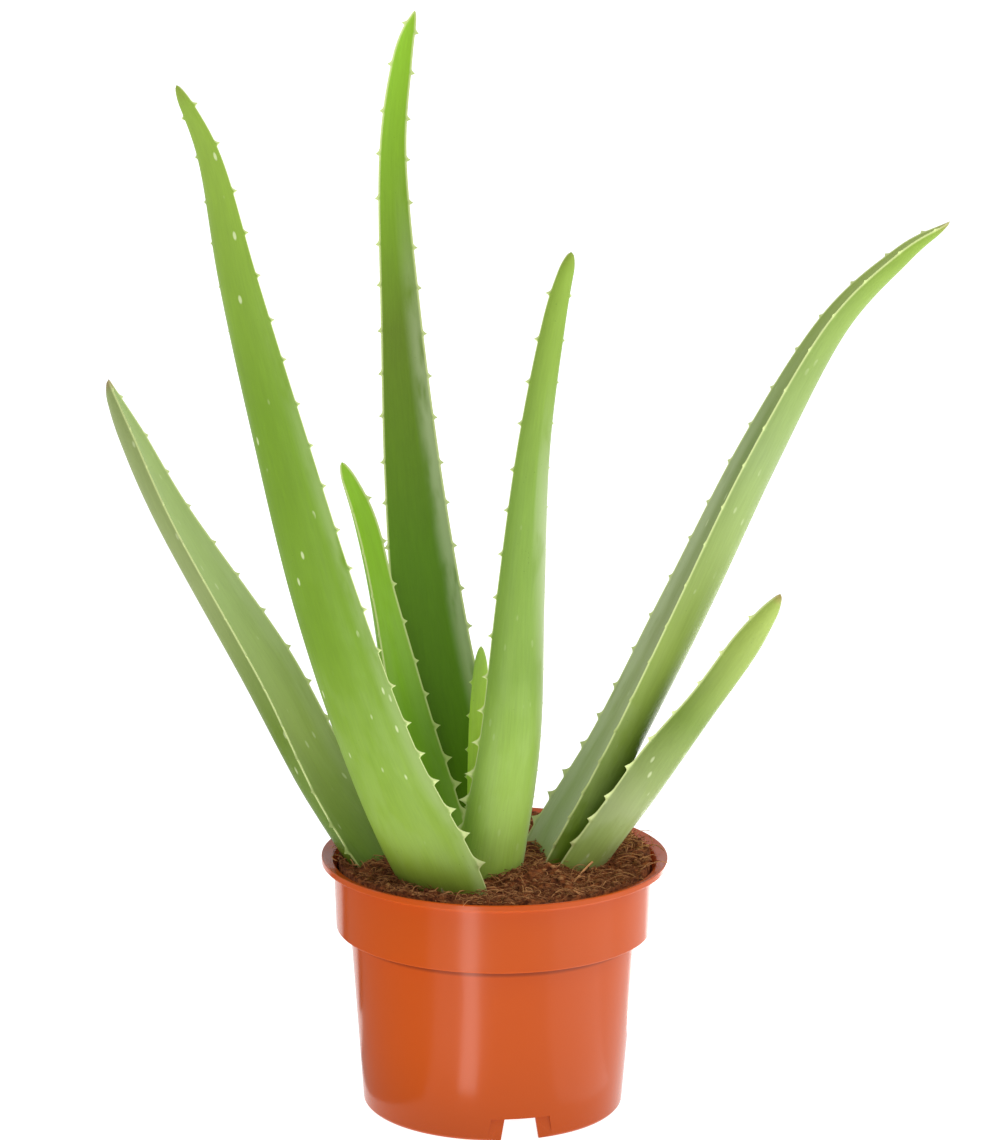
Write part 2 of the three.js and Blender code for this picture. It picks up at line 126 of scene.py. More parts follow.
class Paint:
    """A material with one Principled shader, and the nodes that lead to it."""

    def __init__(self, name, **constants):
        self.material = bpy.data.materials.new(name)
        self.material.use_nodes = True
        self.tree = self.material.node_tree
        self.shader = self.tree.nodes["Principled BSDF"]
        for socket, value in constants.items():
            self.shader.inputs[socket.replace("_", " ")].default_value = value

    def node(self, kind, settings=None, inputs=None, output=0):
        """Adds a node: its settings first, then a number, a colour or a wire for each of its inputs."""
        made = self.tree.nodes.new(kind)
        for name, value in (settings or {}).items():
            if name == "stops":
                self.set_stops(made.color_ramp.elements, value)
            else:
                setattr(made, name, value)
        for key, value in (inputs or {}).items():
            if isinstance(value, Wire):
                self.tree.links.new(value.socket, made.inputs[key])
            else:
                made.inputs[key].default_value = value
        return Wire(self, made.outputs[output])

    @staticmethod
    def set_stops(elements, stops):
        while len(elements) < len(stops):
            elements.new(1.0)
        for element, (position, colour) in zip(elements, stops):
            element.position = position
            element.color = colour

    def attribute(self, name, output="Fac"):
        """What the mesh keeps with its points under this name."""
        return self.node("ShaderNodeAttribute", {"attribute_name": name}, output=output)

    def place(self):
        return self.node("ShaderNodeTexCoord", output="Object")

    def part(self, vector, axis):
        return self.node("ShaderNodeSeparateXYZ", inputs={0: vector}, output=axis)

    def stretched(self, vector, *scale):
        return self.node("ShaderNodeMapping", inputs={"Vector": vector, "Scale": scale})

    def clouds(self, place, scale, detail=3.0, roughness=0.5):
        """Noise around 0.5. The scale is in patches per unit of the place."""
        inputs = {"Vector": place, "Scale": scale, "Detail": detail, "Roughness": roughness}
        return self.node("ShaderNodeTexNoise", inputs=inputs)

    def dots(self, place, scale):
        """The distance to the nearest of many scattered points."""
        return self.node("ShaderNodeTexVoronoi", inputs={"Vector": place, "Scale": scale})

    def blend(self, share, below, above):
        """One colour over another, as much of it as the share says."""
        settings = {"data_type": "RGBA"}
        return self.node("ShaderNodeMix", settings, {0: share, 6: below, 7: above}, output=2)

    def along(self, share, stops):
        """A colour that changes from stop to stop."""
        return self.node("ShaderNodeValToRGB", {"stops": stops}, {0: share})

    def finish(self, colour, roughness=None, height=None):
        """Wires what varies into the shader. The height is in metres."""
        wires = {"Base Color": colour, "Roughness": roughness}
        if height is not None:
            wires["Normal"] = self.node("ShaderNodeBump", inputs={"Distance": 1.0, "Height": height})
        for socket, wire in wires.items():
            if wire is not None:
                self.tree.links.new(wire.socket, self.shader.inputs[socket])
        return self.material


def rgb(red, green, blue):
    """A colour as a paint chart gives it, from 0 to 255, in the linear light that shaders use."""
    def linear(value):
        share = value / 255
        return share / 12.92 if share < 0.04045 else ((share + 0.055) / 1.055) ** 2.4

    return (linear(red), linear(green), linear(blue), 1.0)


print("mid grey in linear light:", round(rgb(128, 128, 128)[0], 3))

# %% [markdown]
# ## Meshes into pieces
# Every piece is shaped as a bmesh and handed over once it is done. An object could also be moved to its
# place afterwards. Here it stays at the origin and its points say where the piece lies, so a pattern on
# Object coordinates stays where it was made.

# %% Hand a bmesh over as an object
def of_kind(geometry, kind):
    """The points, edges or faces among all that an operator made."""
    return [item for item in geometry if isinstance(item, kind)]


def to_mesh(bm, name, smooth_below_deg=180):
    """The bmesh as a smooth mesh, with hard edges where its faces meet at more than the angle."""
    mesh = bpy.data.meshes.new(name)
    bm.to_mesh(mesh)
    bm.free()
    mesh.shade_smooth()
    mesh.set_sharp_from_angle(angle=math.radians(smooth_below_deg))
    return mesh


def to_object(bm, name, smooth_below_deg=180):
    thing = bpy.data.objects.new(name, to_mesh(bm, name, smooth_below_deg))
    bpy.context.scene.collection.objects.link(thing)
    return thing


def dress(piece, material, slot, *nodes):
    """Gives the piece its finish, lets it ride on the plant's one body and hides the fixed model's pieces
    that it stands for.
    """
    piece.data.materials.clear()
    piece.data.materials.append(material)
    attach(piece, "root")
    if nodes:
        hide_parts(*nodes)
    print(piece.name, len(piece.data.polygons), "faces")


# %% [markdown]
# ## The pot's section
# A 12 cm nursery pot is moulded from about a millimetre of plastic: a tapered body, a step, a wider
# collar and a small lip. A spin of its section gives all of that at once. The section's corners are
# rounded first, by swapping each one for a short arc, because a mould has no sharp edge and the arcs are
# what catches the light.

# %% Draw the section
POT_HEIGHT = 89
LIP_RADIUS = 60
LIP_HEIGHT = 2.4
LIP_FILLET = 1.6
COLLAR_TOP_RADIUS = 55.7
COLLAR_FOOT_RADIUS = 54.8
COLLAR_FOOT_Z = 63.3
BODY_TOP_RADIUS = 49.9
BASE_RADIUS = 45.1
WALL = 1.2
FLOOR = 1.6
STEP_SLOPE = 0.8
# Along the radius and along the height
FOOT_EDGE = (0.8, 0.9)
LIP_LEDGE = (0.4, 1.3)
POT_STEPS = 180
EDGE_ROUNDING = 0.5
MOST_OF_SIDE = 0.3
SHADING_POINT = 1.6
ARC_STEPS = 4


def body_radius(height):
    return BASE_RADIUS + (BODY_TOP_RADIUS - BASE_RADIUS) * height / COLLAR_FOOT_Z


def rounded(outline):
    """The outline with an arc at each corner, and a point on each side of it to keep the arc's shading in."""
    line = [Vector(point) for point in outline]
    drawn = [line[0]]
    for before, corner, after in zip(line, line[1:], line[2:]):
        shorter_side = min((corner - before).length, (after - corner).length)
        reach = min(EDGE_ROUNDING, MOST_OF_SIDE * shorter_side)
        start = (before - corner).normalized() * reach
        end = (after - corner).normalized() * reach
        drawn.append(corner + SHADING_POINT * start)
        for step in range(ARC_STEPS + 1):
            t = step / ARC_STEPS
            drawn.append(corner + (1 - t) ** 2 * start + t**2 * end)
        drawn.append(corner + SHADING_POINT * end)
    return drawn + [line[-1]]


def pot_section():
    """From the middle of the underside, up the outside, over the lip and down inside to the floor."""
    lip_foot = POT_HEIGHT - LIP_HEIGHT
    outside = [
        (0, 0),
        (BASE_RADIUS - FOOT_EDGE[0], 0),
        (BASE_RADIUS, FOOT_EDGE[1]),
        (BODY_TOP_RADIUS, COLLAR_FOOT_Z - STEP_SLOPE),
        (COLLAR_FOOT_RADIUS, COLLAR_FOOT_Z),
        (COLLAR_TOP_RADIUS, lip_foot - LIP_FILLET),
        (COLLAR_TOP_RADIUS + 0.35 * LIP_FILLET, lip_foot - 0.35 * LIP_FILLET),
        (LIP_RADIUS, lip_foot),
        (LIP_RADIUS, POT_HEIGHT),
    ]
    inside = [
        (COLLAR_TOP_RADIUS + LIP_LEDGE[0], POT_HEIGHT - LIP_LEDGE[1]),
        (COLLAR_TOP_RADIUS - WALL, lip_foot - LIP_FILLET),
        (COLLAR_FOOT_RADIUS - WALL, COLLAR_FOOT_Z + WALL),
        (BODY_TOP_RADIUS - WALL, COLLAR_FOOT_Z),
        (body_radius(FLOOR) - WALL, FLOOR),
        (0, FLOOR),
    ]
    return rounded(outside + inside)


def spun(section, steps):
    """A closed surface of revolution from a section of (radius, height) in mm that ends on the axis."""
    bm = bmesh.new()
    line = [bm.verts.new((radius * MM, 0, height * MM)) for radius, height in section]
    edges = [bm.edges.new(pair) for pair in zip(line, line[1:])]
    bmesh.ops.spin(
        bm, geom=line + edges, cent=(0, 0, 0), axis=(0, 0, 1), dvec=(0, 0, 0),
        angle=math.tau, steps=steps, use_merge=True,
    )
    bmesh.ops.remove_doubles(bm, verts=bm.verts[:], dist=0.001 * MM)
    bmesh.ops.recalc_face_normals(bm, faces=bm.faces[:])
    return bm


pot = to_object(spun(pot_section(), POT_STEPS), "nursery_pot")
print("pot blank:", len(pot.data.polygons), "faces")

# %% [markdown]
# ## Drainage
# Under the floor sit three chambers, each with a hole above it and a notch in the wall beside it. They
# could be modelled into the wall face by face. Joining roofs on and cutting blocks out with Boolean
# modifiers follows the way the mould's cores do it, and keeps every edge crisp.

# %% Join the chambers' roofs on and cut the notches
NOTCH_BEARINGS = (12.5, 132.5, 252.5)
NOTCH_HEIGHT = 7.6
NOTCH_TOP_WIDTH = 10.8
NOTCH_FOOT_WIDTH = 13.6
PANEL_DEPTH = 0.5
PANEL_MARGIN = 4.8
CHAMBER_WIDTH = 24
CHAMBER_START_RADIUS = 22
DRAIN_HOLE_RADIUS = 3.2
DRAIN_HOLE_AT = 34
DRAIN_HOLE_SIDES = 32
# Cuts start below the pot and end past its wall. Roofs start within the floor, so that they grow together
BELOW = -1
PAST = 5
ROOF_FOOT_Z = 0.3
PANEL_ABOVE_NOTCH = 0.5
NOTCH_BELOW_ROOF = 0.1
CRISP_ABOVE_DEG = 35


def at_each_notch(bm):
    """Swaps the solid, which lies along X, for copies of it at the three notches."""
    solid = bm.verts[:] + bm.edges[:] + bm.faces[:]
    first = bm.verts[:]
    for bearing in NOTCH_BEARINGS:
        copies = bmesh.ops.duplicate(bm, geom=solid)["geom"]
        verts = of_kind(copies, bmesh.types.BMVert)
        turn = Matrix.Rotation(math.radians(bearing - 90), 3, "Z")
        bmesh.ops.rotate(bm, verts=verts, cent=(0, 0, 0), matrix=turn)
    bmesh.ops.delete(bm, geom=first, context="VERTS")
    return bm


def blocks(foot_width, top_width, foot, top, start, end=BASE_RADIUS + PAST):
    """Three blocks that run outwards, past the wall if no end is given. The top may be narrower."""
    bm = bmesh.new()
    for vert in bmesh.ops.create_cube(bm, size=1)["verts"]:
        x, y, z = vert.co
        width = top_width if z > 0 else foot_width
        vert.co = Vector((end if x > 0 else start, y * width, top if z > 0 else foot)) * MM
    return at_each_notch(bm)


def boolean(piece, operation, bm):
    """Joins, cuts or trims the piece with a solid, and keeps the result as its mesh."""
    tool = to_object(bm, "tool")
    modifier = piece.modifiers.new("tool", "BOOLEAN")
    modifier.operation = operation
    modifier.solver = "EXACT"
    modifier.object = tool
    evaluated = piece.evaluated_get(bpy.context.evaluated_depsgraph_get())
    result = bpy.data.meshes.new_from_object(evaluated)
    piece.modifiers.clear()
    piece.data = result
    bpy.data.objects.remove(tool)


def inside_foot(bm, grow):
    """What lies within the pot's inner wall, and a little into that wall, as a bmesh."""
    top = 2 * NOTCH_HEIGHT
    foot_radius = BASE_RADIUS - WALL + grow
    top_radius = body_radius(top) - WALL + grow
    limit = spun([(0, BELOW), (foot_radius, BELOW), (top_radius, top), (0, top)], POT_STEPS)
    piece = to_object(bm, "trimmed")
    boolean(piece, "INTERSECT", limit)
    trimmed = bmesh.new()
    trimmed.from_mesh(piece.data)
    bpy.data.objects.remove(piece)
    return trimmed


def drains():
    """A rod through the roof of each chamber."""
    bm = bmesh.new()
    bmesh.ops.create_cone(
        bm, cap_ends=True, segments=DRAIN_HOLE_SIDES, depth=2 * NOTCH_HEIGHT * MM,
        radius1=DRAIN_HOLE_RADIUS * MM, radius2=DRAIN_HOLE_RADIUS * MM,
        matrix=Matrix.Translation(Vector((DRAIN_HOLE_AT, 0, NOTCH_HEIGHT)) * MM),
    )
    return at_each_notch(bm)


roof_width = CHAMBER_WIDTH + 2 * WALL
panel_width = NOTCH_TOP_WIDTH + 2 * PANEL_MARGIN
panel_half_angle = math.asin(panel_width / 2 / BASE_RADIUS)
panel_start = body_radius(NOTCH_HEIGHT / 2) * math.cos(panel_half_angle) - PANEL_DEPTH
splay = NOTCH_FOOT_WIDTH - NOTCH_TOP_WIDTH

roof_start = CHAMBER_START_RADIUS - WALL
roofs = blocks(roof_width, roof_width, ROOF_FOOT_Z, NOTCH_HEIGHT + WALL, roof_start)
boolean(pot, "UNION", inside_foot(roofs, WALL / 2))
panels = blocks(panel_width + splay, panel_width, BELOW, NOTCH_HEIGHT + PANEL_ABOVE_NOTCH, panel_start)
boolean(pot, "DIFFERENCE", panels)
# The wall keeps its thickness behind the panels
chambers = blocks(CHAMBER_WIDTH, CHAMBER_WIDTH, BELOW, NOTCH_HEIGHT, CHAMBER_START_RADIUS, panel_start - WALL)
boolean(pot, "DIFFERENCE", chambers)
notch_top = NOTCH_HEIGHT - NOTCH_BELOW_ROOF
boolean(pot, "DIFFERENCE", blocks(NOTCH_FOOT_WIDTH, NOTCH_TOP_WIDTH, BELOW, notch_top, DRAIN_HOLE_AT))
boolean(pot, "DIFFERENCE", drains())
pot.data.shade_smooth()
pot.data.set_sharp_from_angle(angle=math.radians(CRISP_ABOVE_DEG))
print("pot with its drainage:", len(pot.data.polygons), "faces")

# %% [markdown]
# ## The pot's plastic
# Terracotta-coloured polypropylene is glossy but has no clear coat: a soft, wide highlight over a colour
# that hardly varies. One flat colour with a clean gloss would look like a drawing. Moulded plastic shrinks
# unevenly and is very slightly wavy, which is what breaks the long reflections, so the waves go into the
# bump and a fine speckle into the roughness.

# %% Mix the pot's plastic
TERRACOTTA = (rgb(185, 73, 2), rgb(194, 79, 4))
# The colour of the painted shade in the crease below the collar
PAINTED_CREASE_SHADE = rgb(96, 34, 4)
WAVE_DEPTH = 0.00016
SPECKLE_DEPTH = 0.000005


def pot_plastic():
    paint = Paint("pot_plastic", IOR=1.5, Specular_IOR_Level=0.25)
    place = paint.place()
    speckle = paint.clouds(place, 900, detail=2.0)
    colour = paint.blend(paint.clouds(place, 14, detail=2.0), *TERRACOTTA)
    # A painted shade darkens the crease below the collar
    below_collar = COLLAR_FOOT_Z - paint.part(place, "Z") / MM
    painted_crease_shade = below_collar.ramp(3.4, 2) * below_collar.ramp(0, 1)
    colour = paint.blend(0.6 * painted_crease_shade, colour, PAINTED_CREASE_SHADE)
    bump = WAVE_DEPTH * paint.clouds(place, 38, detail=1.0) + SPECKLE_DEPTH * speckle
    return paint.finish(colour, 0.17 + 0.06 * speckle, bump)


dress(pot, pot_plastic(), "pot_plastic", "pot")

# %% [markdown]
# ## The potting mix
# Coir mix is chopped coconut husk: dark crumbs, felted with curly fibres in every brown. From a step away
# the curls are what the eye reads, and a bumpy surface alone would look like mud. So a disc of fine rings
# carries the heaps and the crumbs, and thousands of short curled fibres are laid on it afterwards.

# %% Shape the top of the mix
SPACE = 0.4
MIX_EDGE_Z = 85.6
MIX_CROWN_RISE = 2.2
MIX_RIPPLE = 0.45
MIX_TOP_RADIUS = COLLAR_TOP_RADIUS - WALL - SPACE
# Where the mix is heaped or hollowed: x, y, rise, spread
MIX_HEAPS = (
    (36, 30, 5.5, 12), (46, 5, 2.4, 13), (17, -20, 3.2, 9), (8, -28, 2, 7),
    (-44, -8, 1.6, 9), (8, 34, 1.8, 14), (-14, 44, -2.4, 10),
)
MIX_RINGS = 90
MIX_STEPS = 300
BANK_RISE = 2.2
BANK_POWER = 8
# Lumps, crumbs and grit: width, rise, level of the noise that they are read from
GRAINS = ((4.5, 1.3, 0), (1.7, 0.9, 5), (0.625, 0.3, 9))


def mix_height(x, y):
    """The height of the mix without its crumbs, as in the fixed model."""
    height = MIX_EDGE_Z + MIX_CROWN_RISE * (1 - (math.hypot(x, y) / COLLAR_TOP_RADIUS) ** 2)
    for heap_x, heap_y, rise, spread in MIX_HEAPS:
        height += rise * math.exp(-((x - heap_x) ** 2 + (y - heap_y) ** 2) / spread**2)
    return height + MIX_RIPPLE * math.sin(0.55 * x + 1) * math.cos(0.48 * y)


def crumb_height(x, y):
    """How far the crumbs stand up or leave a hollow at a place. At the wall they are banked up."""
    height = BANK_RISE * (math.hypot(x, y) / MIX_TOP_RADIUS) ** BANK_POWER
    for width, rise, level in GRAINS:
        height += rise * noise.noise(Vector((x / width, y / width, level)))
    return height


def mix_surface():
    """A plug that fills the pot, spun flat on top and then heaped."""
    top = [(MIX_TOP_RADIUS * ring / MIX_RINGS, POT_HEIGHT) for ring in range(MIX_RINGS + 1)]
    under = [
        (COLLAR_FOOT_RADIUS - WALL - SPACE, COLLAR_FOOT_Z + WALL + SPACE),
        (BODY_TOP_RADIUS - WALL - SPACE, COLLAR_FOOT_Z + SPACE),
        (body_radius(FLOOR) - WALL - SPACE, NOTCH_HEIGHT + WALL + SPACE),
        (0, NOTCH_HEIGHT + WALL + SPACE),
    ]
    bm = spun(top + under, MIX_STEPS)
    just_below_top = (POT_HEIGHT - 0.01) * MM
    for vert in bm.verts:
        if vert.co.z > just_below_top:
            x, y = vert.co.x / MM, vert.co.y / MM
            vert.co.z = (mix_height(x, y) + crumb_height(x, y)) * MM
    return bm


mix = to_object(mix_surface(), "coir_surface")
heights = [vert.co.z / MM for vert in mix.data.vertices]
print("the mix reaches from", round(min(heights), 1), "to", round(max(heights), 1), "mm")

# %% [markdown]
# ### Browns
# Coir is matt and every fibre has a brown of its own. A colour for each fibre could be a material for each,
# hundreds in all. One material reads the shade that is kept with a fibre's points instead, and fine noise
# adds what varies within it.

# %% Mix the browns of coir
def coir(name, dark, light, by_strand=False):
    """Browns from dark to light, by noise alone or mostly by the shade that each strand has."""
    paint = Paint(name, Roughness=0.85, Specular_IOR_Level=0.2)
    place = paint.place()
    share = paint.clouds(place, 450, detail=4.0, roughness=0.7).ramp(0.35, 0.72)
    if by_strand:
        share = 0.8 * paint.attribute("shade") + 0.2 * share
    height = 0.0003 * paint.clouds(place, 1500)
    return paint.finish(paint.blend(share, dark, light), None, height)


dress(mix, coir("coir_crumbs", rgb(78, 35, 14), rgb(172, 100, 54)), "coir_mix", "potting_mix")

# %% [markdown]
# ### Fibres
# Bending each of thousands of fibres by itself is slow, and nobody could tell. A few dozen curls of every
# shade are extruded once, and each is laid down many times at a new place and turn.

# %% Lay the fibres
FIBRES = 3200
CRUMBS = 700
KINDS = 48
FIBRE_LENGTHS = (3, 9)
FIBRE_RADII = (0.08, 0.17)
CRUMB_SIZES = (0.5, 1.4)
FIBRE_STEPS = 7
FIBRE_SIDES = 3
draw = random.Random(7)


def swept(stations):
    """A closed thin tube through stations of (place, direction, radius)."""
    bm = bmesh.new()
    verts = bmesh.ops.create_circle(bm, segments=FIBRE_SIDES, radius=1)["verts"]
    corners = [vert.co.copy() for vert in verts]
    edges = bm.edges[:]
    start = list(edges)
    for number, (place, direction, radius) in enumerate(stations):
        if number:
            grown = bmesh.ops.extrude_edge_only(bm, edges=edges)["geom"]
            verts = of_kind(grown, bmesh.types.BMVert)
            edges = of_kind(grown, bmesh.types.BMEdge)
        turn = direction.to_track_quat("Z", "Y")
        for vert, corner in zip(verts, corners):
            vert.co = place + turn @ (corner * radius)
    bmesh.ops.edgeloop_fill(bm, edges=start)
    bmesh.ops.edgeloop_fill(bm, edges=edges)
    bmesh.ops.recalc_face_normals(bm, faces=bm.faces[:])
    return bm


def curl(length, radius, turns, lift):
    """One curled fibre that starts at the origin and lies about flat."""
    stations = []
    place = Vector((0, 0, 0))
    for step in range(FIBRE_STEPS + 1):
        share = step / FIBRE_STEPS
        turn = turns * math.tau * share
        direction = Vector((math.cos(turn), math.sin(turn), lift * math.cos(math.pi * share)))
        stations.append((place, direction, radius * (0.6 if step in (0, FIBRE_STEPS) else 1)))
        place = place + direction.normalized() * (length / FIBRE_STEPS)
    return swept(stations)


def crumb(size):
    """One angular crumb round the origin."""
    bm = bmesh.new()
    for vert in bmesh.ops.create_icosphere(bm, subdivisions=1, radius=size)["verts"]:
        vert.co *= draw.uniform(0.6, 1.3)
    bmesh.ops.scale(bm, vec=(1.3, 0.8, 0.6), verts=bm.verts[:])
    return bm


def in_shade(bm, shade):
    """Keeps a shade with every point, from 0 for the darkest brown to 1 for the lightest."""
    layer = bm.verts.layers.float.new("shade")
    for vert in bm.verts:
        vert[layer] = shade
    return bm


def scattered(kinds, count, raised):
    """Many copies of the kinds, turned at random and laid on the mix, each raised a little."""
    everything = bmesh.new()
    for _ in range(count):
        radius = MIX_TOP_RADIUS * math.sqrt(draw.random())
        bearing = draw.uniform(0, math.tau)
        x, y = radius * math.cos(bearing), radius * math.sin(bearing)
        height = mix_height(x, y) + crumb_height(x, y) + raised
        copy = draw.choice(kinds).copy()
        copy.transform(
            Matrix.Translation(Vector((x, y, height)) * MM)
            @ Matrix.Rotation(draw.uniform(0, math.tau), 4, "Z")
            @ Matrix.Rotation(draw.uniform(-0.25, 0.25), 4, "X")
            @ Matrix.Scale(draw.uniform(0.7, 1.3), 4)
        )
        everything.from_mesh(copy)
        bpy.data.meshes.remove(copy)
    return everything


fibre_kinds = []
for kind in range(KINDS):
    length = draw.uniform(*FIBRE_LENGTHS) * MM
    radius = draw.uniform(*FIBRE_RADII) * MM
    strand = curl(length, radius, draw.uniform(-1, 1), draw.random() * 0.7)
    fibre_kinds.append(to_mesh(in_shade(strand, draw.random() ** 1.5), "fibre"))
fibres = to_object(scattered(fibre_kinds, FIBRES, 0.15), "coir_fibres")
strands = coir("coir_fibre", rgb(106, 48, 20), rgb(240, 176, 116), by_strand=True)
dress(fibres, strands, "coir_mix")

crumb_kinds = []
for kind in range(KINDS):
    grain = crumb(draw.uniform(*CRUMB_SIZES) * MM)
    crumb_kinds.append(to_mesh(in_shade(grain, 0.5 * draw.random()), "crumb"))
crumbs = to_object(scattered(crumb_kinds, CRUMBS, 0.1), "coir_crumbs")
dress(crumbs, strands, "coir_mix")

# %% [markdown]
# One pale straw lies at the right, and a few loose, bleached curls stick out past the rim behind it. Each
# has its own place, because the eye finds them at once.

# %% Lay the straw and the loose curls
STRAW = ((26, -30, 86.6), (30, -20, 89.4), (35.5, -10, 91.2))
STRAW_RADIUS = 0.45
STRAW_STEPS = 10
LOOSE_CURLS = 9
LOOSE_CURL_X = (45, 51)
LOOSE_CURL_Y = (6, 24)


def straw_and_curls():
    """The straw bends like a bow and is thin at its foot. Each loose curl starts near the rim."""
    start, middle, end = (Vector(point) for point in STRAW)
    steps = [k / STRAW_STEPS for k in range(STRAW_STEPS + 1)]
    places = [start * (1 - t) ** 2 + middle * 2 * t * (1 - t) + end * t * t for t in steps]
    directions = [(there - here).normalized() for here, there in zip(places, places[1:])]
    directions.append(directions[-1])
    radii = [STRAW_RADIUS * (0.35 + 0.65 * min(1, 3 * t)) for t in steps]
    stations = [
        (place * MM, direction, radius * MM)
        for place, direction, radius in zip(places, directions, radii)
    ]
    bm = in_shade(swept(stations), 1.1)
    for _ in range(LOOSE_CURLS):
        loose = in_shade(curl(draw.uniform(5, 9) * MM, 0.14 * MM, draw.uniform(-0.8, 0.8), 0.9), 1.2)
        place = Vector((draw.uniform(*LOOSE_CURL_X), draw.uniform(*LOOSE_CURL_Y), 0))
        place.z = mix_height(place.x, place.y) + 0.8
        turn = Matrix.Rotation(draw.uniform(-0.6, 0.9), 4, "Z")
        loose.transform(Matrix.Translation(place * MM) @ turn)
        mesh = to_mesh(loose, "loose")
        bm.from_mesh(mesh)
        bpy.data.meshes.remove(mesh)
    return bm


dress(to_object(straw_and_curls(), "straw_and_curls"), strands, "coir_mix")

# %% [markdown]
# ## The leaves
# An aloe leaf is a long fleshy wedge: a rounded back, a hollow face, and toothed margins where they meet.
# It could be sculpted, or a box could be bent. But its section hardly changes from foot to tip, so a
# circle is reshaped into that section and extruded ring by ring along the leaf's own curve.

# %% Measures that all leaves share
HOLLOW = 0.2
TIP_ROUNDING = 7
TOOTH_HEIGHT = 3.2
UPPER_TOOTH = 0.5
TOOTH_TILT = 0.45
TOOTH_LONG_FLANK = 4
TOOTH_SHORT_FLANK = 2
FULL_TOOTH_HALF_WIDTH = 12
SMALLEST_TOOTH = 0.45
PITCH_AT_BASE = 10
PITCH_AT_TIP = 15
TEETH_CHANGE_OVER = 80
print("teeth stand", PITCH_AT_BASE, "mm apart at the foot and", PITCH_AT_TIP, "mm nearer the tip")

# %% [markdown]
# Each leaf has a path from the stem to its tip in millimetres, a half width at each point of the path,
# the bearing of its rounded back at the foot and at the tip, how far that back bulges, and where the
# first tooth of each margin sits. The tones run from foot to tip, for the back and for the hollow face,
# and hold painted light and shade as well as the leaf's green. Only what differs from a plain skin follows:
# the bloom and sheen is how pale the skin is beside each margin, partly wax bloom and partly a painted
# sheen, and it reaches in by some millimetres. The dapple is how cloudy the skin is near the foot, and
# the flecks are how plain its pale spots are.

# %% The eight leaves
# Greens of the leaves. Some hold painted light and shade: the brightest stand at feet deep in the rosette,
# for the light that real leaves let through, and the darkest where other leaves shade a face.
GREENS = {
    "dusk": rgb(85, 120, 20),
    "moss": rgb(95, 138, 14),
    "olive": rgb(106, 134, 30),
    "sage": rgb(120, 146, 54),
    "hay": rgb(154, 178, 82),
    "leaf": rgb(120, 158, 44),
    "grass": rgb(115, 154, 24),
    "spring": rgb(130, 182, 30),
    "bright": rgb(150, 202, 46),
    "neon": rgb(212, 252, 92),
    "apple": rgb(143, 175, 60),
    "fresh": rgb(130, 165, 62),
    "glow": rgb(174, 212, 88),
    "ash": rgb(150, 167, 100),
    "silver": rgb(168, 194, 112),
    "mist": rgb(153, 177, 106),
    "lime": rgb(162, 184, 84),
}
TONE_PLACES = (0.12, 0.4, 0.65, 0.95)
PLAIN_SKIN = {"bloom": (0, 0), "bloom_reach": 9, "dapple": 0, "flecks": 0, "brown_tip": 0.1}

